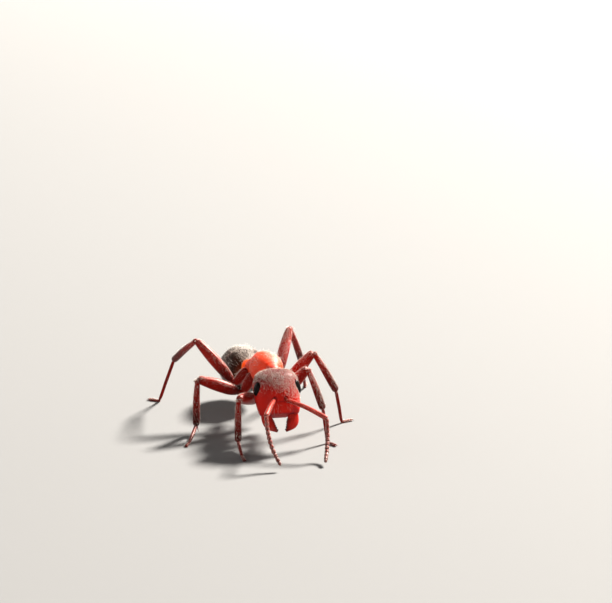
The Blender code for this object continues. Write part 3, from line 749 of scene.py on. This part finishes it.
gaster_tone = np.clip(0.85 * front_face + 0.35 * hoop_edge + 0.35 * flank_line, 0, 1)
black_horn = horn("black_gaster_shell", GASTER_BLACK, GASTER_BROWN, mottle=0.15, glow=0.05, roughness=0.33,
                  coat=0.08, relief=4.0e-6, gloss=0.16, tint=(1.0, 0.55, 0.40, 1.0))
spout_line = place(GASTER, [(0, 1.42, 0), (0, 1.535, 0)])
spout = limb(spout_line, ((0, 0), (0.05, 0.085), (0.8, 0.050), (1, 0)), 30, 36, GASTER[1])
piece("gaster_hoops", [skin(gaster_rings, gaster_tone), skin(spout, 0.7)], black_horn, "gaster")

# Legs
# Each leg is a chain of hollow tubes with soft skin at the joints: a stout hip, a small ring, a thick
# thigh, a shin with a spur at its end, and five short foot joints that end in a pair of hooks.
LEG_LENGTHS = {"fore": (1.97, 1.82, 1.62), "mid": (2.15, 2.05, 1.85), "hind": (2.50, 2.60, 2.60)}
HIP = {"fore": (0.50, -0.95, 1.62), "mid": (0.88, 0.13, 1.58), "hind": (0.93, 1.00, 1.75)}
HIP_ROOT = {"fore": (0.38, -0.72, 2.45), "mid": (0.40, 0.08, 2.40), "hind": (0.38, 0.88, 2.35)}
FOOT_HEIGHT = 0.045
SOLE_HEIGHT = 0.002
LEAST_REACH = 0.3
FOOT_LENGTH = 0.50
STANCE = {
    ("left", "fore"): ((52, 48), (53, -65), 68),
    ("left", "mid"): ((23, 52), (8, -61), -15),
    ("left", "hind"): ((-52, 49), (-52, -52), -66),
    ("right", "fore"): ((46, 16), (60, -86), 82),
    ("right", "mid"): ((0, 23), (16, -88), 60),
    ("right", "hind"): ((-44, 43), (-79, -34), -45),
}
LEG_RED = (0.30, 0.010, 0.006, 1.0)
LEG_DEEP = (0.032, 0.004, 0.003, 1.0)
THIGH_ROWS = ((0, 0), (0.012, 0.11), (0.06, 0.160), (0.25, 0.230), (0.55, 0.235), (0.80, 0.195),
              (0.92, 0.165), (0.985, 0.125), (1, 0))
SHIN_ROWS = ((0, 0), (0.012, 0.095), (0.045, 0.125), (0.09, 0.100), (0.18, 0.110), (0.55, 0.140),
             (0.90, 0.142), (0.985, 0.110), (1, 0))
HIP_ROWS = ((0, 0), (0.02, 0.17), (0.25, 0.25), (0.60, 0.23), (0.90, 0.16), (0.985, 0.12), (1, 0))
RING_ROWS = ((0, 0), (0.06, 0.115), (0.45, 0.140), (0.85, 0.115), (1, 0))
RING_LENGTH = 0.26
SPUR_ROWS = ((0, 0), (0.05, 0.022), (0.6, 0.014), (1, 0))
SPUR_LENGTH = 0.34
FOOT_JOINTS = ((0.0, 0.50, 0.072, 0.060), (0.50, 0.66, 0.062, 0.056), (0.66, 0.78, 0.060, 0.054),
               (0.78, 0.87, 0.060, 0.056), (0.87, 1.0, 0.040, 0.058))
FOOT_STEPS = 120
CLAW_HOOK = ((-0.06, 0.0, 0.0), (0.01, 0.03, 0.020), (0.06, 0.07, 0.0), (0.07, 0.08, -0.032))
CLAW_ROWS = ((0, 0), (0.05, 0.017), (0.5, 0.013), (0.9, 0.005), (1, 0))
PAD_ROWS = ((0, 0), (0.1, 0.022), (0.7, 0.026), (1, 0))
CLAW_PLANE = (0.2, 0.1, 1)


def heading(s, swing, lift):
    """Unit direction on side s: swing forward from straight out to that side, and lift above level."""
    a, b = math.radians(swing), math.radians(lift)
    return np.array([s * math.cos(a) * math.cos(b), -math.sin(a) * math.cos(b), math.sin(b)])


leg_horn = horn("leg_shell", LEG_RED, LEG_DEEP, mottle=0.35, glow=0.20, roughness=0.30, coat=0.0, gloss=0.20)
claw_horn = horn("claw_shell", (0.10, 0.010, 0.006, 1.0), (0.01, 0.003, 0.002, 1.0), glow=0.1, roughness=0.25)
leg_grids = {}
for (side, pair), stance in STANCE.items():
    s = SIDES[side]
    (femur_swing, femur_lift), (tibia_swing, tibia_lift), tarsus_swing = stance
    femur, tibia, tarsus = LEG_LENGTHS[pair]
    mirror = np.array([s, 1, 1])
    root = np.array(HIP_ROOT[pair]) * mirror
    hip = np.array(HIP[pair]) * mirror
    knee = hip + femur * heading(s, femur_swing, femur_lift)
    ankle = knee + tibia * heading(s, tibia_swing, tibia_lift)
    drop = ankle[2] - FOOT_HEIGHT
    stride = tarsus - FOOT_LENGTH
    outward_way = heading(s, tarsus_swing, 0)
    reach = math.sqrt(max(stride**2 - drop**2, LEAST_REACH**2))
    touch = np.array([ankle[0], ankle[1], FOOT_HEIGHT]) + reach * outward_way
    toe = touch + FOOT_LENGTH * outward_way
    plane = np.cross(knee - hip, ankle - knee)
    plane = unit(plane) if np.linalg.norm(plane) > 0.1 else np.array([0.0, 1.0, 0.0])
    thigh_way, shin_way = unit(knee - hip), unit(ankle - knee)
    inward = unit(unit(hip - knee) + shin_way)
    bend = knee + 0.03 * inward
    ring_end = hip + RING_LENGTH * thigh_way
    thigh_path = curved([ring_end - 0.05 * thigh_way, (ring_end + bend) / 2 - 0.03 * inward, bend])
    shin_path = curved([bend, (bend + ankle) / 2 - 0.04 * inward, ankle])
    grids = [
        limb([root, hip], HIP_ROWS, 60, 32, plane, 0.95),
        limb([hip - 0.04 * thigh_way, ring_end], RING_ROWS, 24, 28, plane),
        limb(thigh_path, THIGH_ROWS, 130, 34, plane, 1.1),
        limb(shin_path, SHIN_ROWS, 130, 30, plane, 1.05),
    ]
    share = np.linspace(0, 1, 130)[:, None]
    # Thighs darken near the hip and the knee, and shins towards the foot: partly the legs' own darker ends,
    # partly painted shade under the body and on the lower legs.
    thigh_tone_and_shade = 0.30 * step(share, 0.70, 1.0) + 0.65 * (1 - step(share, 0.10, 0.55))
    shin_tone_and_shade = 0.30 * (1 - step(share, 0.02, 0.15)) + 0.10 + 0.60 * step(share, 0.20, 0.85)
    skins = [skin(grid, tone) for grid, tone in zip(grids, (0.25, 0.40, thigh_tone_and_shade, shin_tone_and_shade))]
    sag = ankle + 0.5 * (touch - ankle) - np.array([0, 0, 0.02])
    arch = (touch + toe) / 2 + np.array([0, 0, 0.012])
    foot_path = curved([ankle - 0.03 * shin_way, sag, touch, arch, toe], FOOT_STEPS)
    foot_path[:, 2] = np.maximum(foot_path[:, 2], FOOT_HEIGHT)
    foot_run = len(foot_path) - 1
    for start, end, narrow, wide in FOOT_JOINTS:
        first, last = int(start * foot_run), int(end * foot_run)
        rows = ((0, 0), (0.03, 0.75 * narrow), (0.15, narrow), (0.85, wide * 1.12), (0.97, 0.8 * wide),
                (1, 0))
        grid = limb(foot_path[max(first - 2, 0):last + 1], rows, 36, 18, plane)
        grid[..., 2] = np.maximum(grid[..., 2], SOLE_HEIGHT)
        grids.append(grid)
        skins.append(skin(grid, 0.45))
    spur_root = ankle - 0.08 * shin_way + 0.06 * inward
    spur_tip = spur_root + SPUR_LENGTH * unit(shin_way + 0.55 * inward)
    skins.append(skin(limb([spur_root, spur_tip], SPUR_ROWS, 20, 8, plane), 0.6))
    piece("leg_joints_%s_%s" % (side, pair), skins, leg_horn, "leg_%s_%s" % (side, pair))
    claw_skins = []
    for way in (1, -1):
        splay = way * np.array([-outward_way[1], outward_way[0], 0.0])
        hook = [toe + ahead * outward_way + aside * splay + np.array([0, 0, rise])
                for ahead, aside, rise in CLAW_HOOK]
        claw_skins.append(skin(limb(curved(hook, 30), CLAW_ROWS, 26, 10, CLAW_PLANE), 0.4))
    pad = limb([toe - 0.04 * outward_way, toe + 0.03 * outward_way], PAD_ROWS, 16, 14, CLAW_PLANE)
    claw_skins.append(skin(pad, 1.0))
    piece("claws_%s_%s" % (side, pair), claw_skins, claw_horn, "leg_%s_%s" % (side, pair))
    leg_grids[side, pair] = grids

# Down
# A short silky down lies close on the whole shell, pointing to the tail on the trunk and gaster, to the
# jaws on the face and to the feet on the limbs. Each hair is a tapering spike of clear horn, pale on
# crown and limbs, reddish on the red shell and brown on the black.
PALE_COLOUR = (0.80, 0.72, 0.64, 1.0)
DOWN_COLOUR = (0.55, 0.22, 0.15, 1.0)
BROWN_COLOUR = (0.09, 0.034, 0.016, 1.0)
DOWN_RADIUS = 0.0021
PATCH = 0.0015
CORNERS = np.array([[-1.0, -1.0], [1.0, -1.0], [0.0, 1.0]]) * PATCH
HAIR_FLOOR = 0.004


def hair_horn(name, colour, glint):
    """Clear horn of a hair: its body colour, and how strongly it glints in the light."""
    look = bpy.data.materials.new(name)
    look.use_nodes = True
    wired(look, "Principled BSDF", {"Base Color": colour, "Roughness": 0.30, "Specular IOR Level": glint})
    return look


pale_hair = hair_horn("pale_hair", PALE_COLOUR, 1.0)
red_hair = hair_horn("red_hair", DOWN_COLOUR, 0.7)
brown_hair = hair_horn("brown_hair", BROWN_COLOUR, 0.3)


def scatter(grid, count, chance, seed):
    """Random places on a skin: point, outward normal, the way to later rings, and share across and along.

    A cell is drawn with a chance that follows its area and the given weight, and the place in it is even.
    """
    draw = np.random.default_rng(seed)
    near, far = grid[:-1], grid[1:]
    along = far - near
    around = np.roll(near, -1, axis=1) - near
    normal = np.cross(along, around)
    area = np.linalg.norm(normal, axis=-1)
    weight = area * np.broadcast_to(chance, grid.shape[:2])[:-1]
    cell = draw.choice(area.size, count, p=(weight / weight.sum()).reshape(-1))
    f, g = draw.random((2, count, 1))
    flat = (v.reshape(-1, 3)[cell] for v in (near, along, around, normal))
    start, along, around, normal = flat
    point = start + f * along + g * around
    normal = normal / np.linalg.norm(normal, axis=1, keepdims=True)
    away = near.reshape(-1, 3)[cell] - near.mean(axis=1)[cell // grid.shape[1]]
    normal = normal * np.sign((normal * away).sum(axis=1, keepdims=True))
    flow = along - normal * (along * normal).sum(axis=1, keepdims=True)
    flow = flow / np.maximum(np.linalg.norm(flow, axis=1, keepdims=True), 1e-9)
    u = (cell % grid.shape[1] + g[:, 0]) / grid.shape[1]
    v = (cell // grid.shape[1] + f[:, 0]) / (grid.shape[0] - 1)
    return point, normal, flow, np.column_stack([u, v])


def hairs(places, length, radius, rise, curl, spread, rings, seed):
    """Tapering three-sided hairs: points, faces and the map place of each point.

    A hair leaves the skin at the angle rise from its flow, turned aside at random by spread, and bends back
    to the skin by curl times the square of the share of its length. Its radius falls with that share.
    """
    point, normal, flow, mapped = places
    draw = np.random.default_rng(seed)
    count = len(point)
    aside = np.cross(normal, flow)
    turn = draw.normal(0, spread, (count, 1))
    lie = flow * np.cos(turn) + aside * np.sin(turn)
    lift = rise * draw.uniform(0.8, 1.2, (count, 1))
    way = lie * np.cos(lift) + normal * np.sin(lift)
    long = length * draw.uniform(0.65, 1.25, (count, 1))
    share = np.linspace(0, 1, rings + 1)
    line = share[None, :, None] * way[:, None, :]
    line = line + curl * (share**2)[None, :, None] * (lie - normal)[:, None, :]
    line = point[:, None, :] - 0.004 * normal[:, None, :] + long[:, None, :] * line
    over = np.cross(way, aside)
    over = over / np.linalg.norm(over, axis=1, keepdims=True)
    third = np.linspace(0, 2 * math.pi, 3, endpoint=False)[None, :, None]
    circle = np.cos(third) * aside[:, None, :] + np.sin(third) * over[:, None, :]
    thick = radius * (1 - share[:-1] ** 1.5)
    body = line[:, :-1, None, :] + thick[None, :, None, None] * circle[:, None, :, :]
    points = np.concatenate([body.reshape(count, -1, 3), line[:, -1:, :]], axis=1)
    j = np.arange(3)
    n = (j + 1) % 3
    faces = [[[0, 2, 1]]]
    for k in range(rings - 1):
        low, high = 3 * k, 3 * k + 3
        faces.append(np.stack([low + j, low + n, high + n], axis=1))
        faces.append(np.stack([low + j, high + n, high + j], axis=1))
    last = 3 * (rings - 1)
    faces.append(np.stack([last + j, last + n, np.full(3, 3 * rings)], axis=1))
    faces = np.vstack(faces)
    size = 3 * rings + 1
    faces = (faces[None] + size * np.arange(count)[:, None, None]).reshape(-1, 3)
    patch = np.vstack([np.tile(CORNERS, (rings, 1)), [[0, 0]]])
    return points.reshape(-1, 3), faces, (mapped[:, None, :] + patch[None]).reshape(-1, 2)


def coat(name, tufts, node, slot, look=pale_hair):
    """One object from a list of hairs, with their places on the skin's own map as OFBake.

    Hairs that would pass through the ground lie along it.
    """
    points, faces, mapped = zip(*tufts)
    points, faces = stacked(points, faces)
    height = points[:, 2]
    points[:, 2] = np.where(height < HAIR_FLOOR, HAIR_FLOOR + 0.03 * (height - HAIR_FLOOR), height)
    mesh = bpy.data.meshes.new(name)
    mesh.from_pydata(metres(points).tolist(), [], faces.tolist())
    mesh.uv_layers.new(name="OFBake").data.foreach_set("uv", np.vstack(mapped)[faces].reshape(-1))
    mounted(mesh, look, node)


def toward_jaws(places):
    """The same places with the flow turned round, for a grid whose rings run away from the jaws."""
    point, normal, flow, mapped = places
    return point, normal, -flow, mapped


def banded(places, low, high):
    """The same places with the map squeezed into a band, so that each part of a limb has its own."""
    point, normal, flow, mapped = places
    return point, normal, flow, np.column_stack([mapped[:, 0], low + (high - low) * mapped[:, 1]])


side_x, back_y, up_z = head_local[..., 0], head_local[..., 1], head_local[..., 2]
off_eye = step(eye_ring(side_x, back_y, up_z), 1.0, 1.15)
crown = off_eye * (0.01 + 0.99 * step(back_y, -0.45, 0.60)) * (0.3 + 0.7 * step(up_z, -0.2, 0.2))
head_down = toward_jaws(scatter(head_rings, 6500, crown, 11))
# Pale crown hairs: the crown's own silvery down, reaching further forward on the ant's left, the side facing
# the key, as painted sheen.
silver_and_sheen = off_eye * step(back_y + 0.40 * side_x, -0.50, 0.30) * step(up_z, 0.0, 0.3)
crown_down = toward_jaws(scatter(head_rings, 2700, silver_and_sheen, 19))
coat("head_down", [hairs(head_down, 0.062, DOWN_RADIUS, 0.38, 0.10, 0.35, 1, 12)], "head", "red_shell",
     red_hair)
trunk_chance = step(trunk_local[..., 1], -1.35, -1.2)
trunk_down = scatter(trunk_rings, 6000, trunk_chance, 13)
coat("trunk_down", [hairs(trunk_down, 0.066, DOWN_RADIUS, 0.36, 0.10, 0.30, 1, 14)], "thorax", "red_shell",
     red_hair)
gaster_chance = step(gaster_share, -0.97, -0.90) * (1 - step(gaster_share, 0.95, 0.98)) + 0 * gaster_turn
gaster_down = scatter(gaster_rings, 24000, gaster_chance, 15)
coat("gaster_down", [hairs(gaster_down, 0.075, 0.0016, 0.24, 0.08, 0.20, 1, 16)], "gaster", "black_shell",
     brown_hair)
scale_down = scatter(scale_rings, 1100, 1.0, 17)
coat("scale_down", [hairs(scale_down, 0.060, DOWN_RADIUS, 0.45, 0.10, 0.40, 1, 18)], "petiole", "red_shell",
     red_hair)

for number, (side, grids) in enumerate(antenna_grids.items()):
    tufts = []
    for k, (grid, count) in enumerate(zip(grids, (1600, 3800))):
        places = banded(scatter(grid, count, 1.0, 20 + 4 * number + k), k / 2, (k + 1) / 2)
        tufts.append(hairs(places, 0.050, 0.0019, 0.42, 0.10, 0.30, 1, 30 + 4 * number + k))
    coat("antenna_down_" + side, tufts, "antenna_" + side, "dark_shell")

# Standing hairs
# Long pale bristles stand on the crown, the edge of the mouth plate, the back of the trunk and the hoops of
# the gaster, and the legs and feet carry shorter ones. Shorter pale hairs, laid thickest on the crown's left,
# the trunk's top, the gaster's top and the legs' upper sides, are partly down and partly painted sheen of the
# light. All are rooted just inside the skin.
BRISTLE_RADIUS = 0.0052
LEG_DOWN = (260, 30, 1200, 1000, 340, 110, 90, 80, 70)
LEG_BRISTLES = {0: (30, 0.12), 2: (210, 0.10), 3: (210, 0.12)}
FOOT_BRISTLES = 18

crest = off_eye * step(back_y, 0.25, 0.50) * step(up_z, 0.1, 0.3)
crown_hair = toward_jaws(scatter(head_rings, 46, crest, 41))
lip = step(-back_y, 0.62, 0.75) * (1 - step(-back_y, 0.98, 1.02))
lip = lip * step(up_z, 0.0, 0.1) * (np.abs(side_x) < 0.5)
lip_hair = toward_jaws(scatter(head_rings, 22, lip + 1e-9, 42))
under_hair = toward_jaws(scatter(head_rings, 36, 1 - step(up_z, -0.35, -0.2) + 1e-9, 43))
coat("head_bristles", [hairs(crown_down, 0.075, 0.0060, 0.50, 0.10, 0.45, 2, 10),
                       hairs(crown_hair, 0.17, BRISTLE_RADIUS, 1.15, 0.15, 0.5, 4, 51),
                       hairs(lip_hair, 0.19, 0.0036, 0.75, 0.18, 0.3, 4, 52),
                       hairs(under_hair, 0.14, BRISTLE_RADIUS, 0.9, 0.18, 0.5, 4, 53)], "head", "red_shell")
top_of_trunk = trunk_chance * step(trunk_local[..., 2], 0.10, 0.35)
trunk_hair = scatter(trunk_rings, 120, top_of_trunk, 44)
# Short pale hairs over the top of the trunk, mostly on its left, the side facing the key, are painted sheen.
shoulder_sheen_hair = scatter(trunk_rings, 900, top_of_trunk * step(trunk_local[..., 0], -0.30, 0.35), 48)
coat("trunk_bristles", [hairs(shoulder_sheen_hair, 0.075, 0.0045, 0.45, 0.10, 0.40, 2, 49),
                        hairs(trunk_hair, 0.15, BRISTLE_RADIUS, 1.15, 0.12, 0.5, 4, 54)], "thorax",
     "red_shell")
hoop_row = gaster_chance * (0.35 + 1.6 * hoop_edge * (gaster_share < 0.99))
gaster_hair = scatter(gaster_rings, 640, hoop_row, 45)
tip_hair = scatter(spout, 18, 1.0, 46)
# Pale hairs only along the top of the gaster, among the brown down, are painted sheen of the light from
# above.
gaster_sheen_hair = scatter(gaster_rings, 3400, gaster_chance * step(np.sin(gaster_turn), 0.80, 1.0), 50)
coat("gaster_bristles", [hairs(gaster_sheen_hair, 0.085, 0.0030, 0.30, 0.08, 0.25, 2, 58),
                         hairs(gaster_hair, 0.17, BRISTLE_RADIUS, 0.85, 0.15, 0.4, 4, 55),
                         hairs(tip_hair, 0.10, 0.0035, 0.35, 0.0, 0.3, 3, 56)], "gaster", "black_shell")
scale_hair = scatter(scale_rings, 22, step(scale_rise, 0.55, 0.80) + 0 * scale_turn, 47)
coat("scale_bristles", [hairs(scale_hair, 0.13, BRISTLE_RADIUS, 1.2, 0.1, 0.5, 4, 57)], "petiole",
     "red_shell")

for number, ((side, pair), grids) in enumerate(leg_grids.items()):
    seed = 100 + 40 * number
    tufts = []
    for k, (grid, count) in enumerate(zip(grids, LEG_DOWN)):
        low, high = k / len(grids), (k + 1) / len(grids)
        # Pale down and bristles set mostly on the upper side of each leg part are partly the legs' own hair
        # and partly painted sheen of the light from above.
        upper = 0.08 + 0.92 * step(outward(grid)[..., 2], -0.1, 0.8)
        places = banded(scatter(grid, count, upper, seed + k), low, high)
        fine = 0.0019 if k < 4 else 0.0016
        tufts.append(hairs(places, 0.062, fine, 0.36, 0.10, 0.25, 1, seed + 10 + k))
        if k in LEG_BRISTLES:
            count, length = LEG_BRISTLES[k]
            places = banded(scatter(grid, count, upper, seed + 20 + k), low, high)
            tufts.append(hairs(places, length, 0.0038, 0.75, 0.15, 0.35, 3, seed + 30 + k))
        if k > 3:
            places = banded(scatter(grid, FOOT_BRISTLES, 1.0, seed + 20 + k), low, high)
            tufts.append(hairs(places, 0.070, 0.0030, 0.75, 0.10, 0.3, 3, seed + 30 + k))
    coat("leg_coat_%s_%s" % (side, pair), tufts, "leg_%s_%s" % (side, pair), "leg_shell")
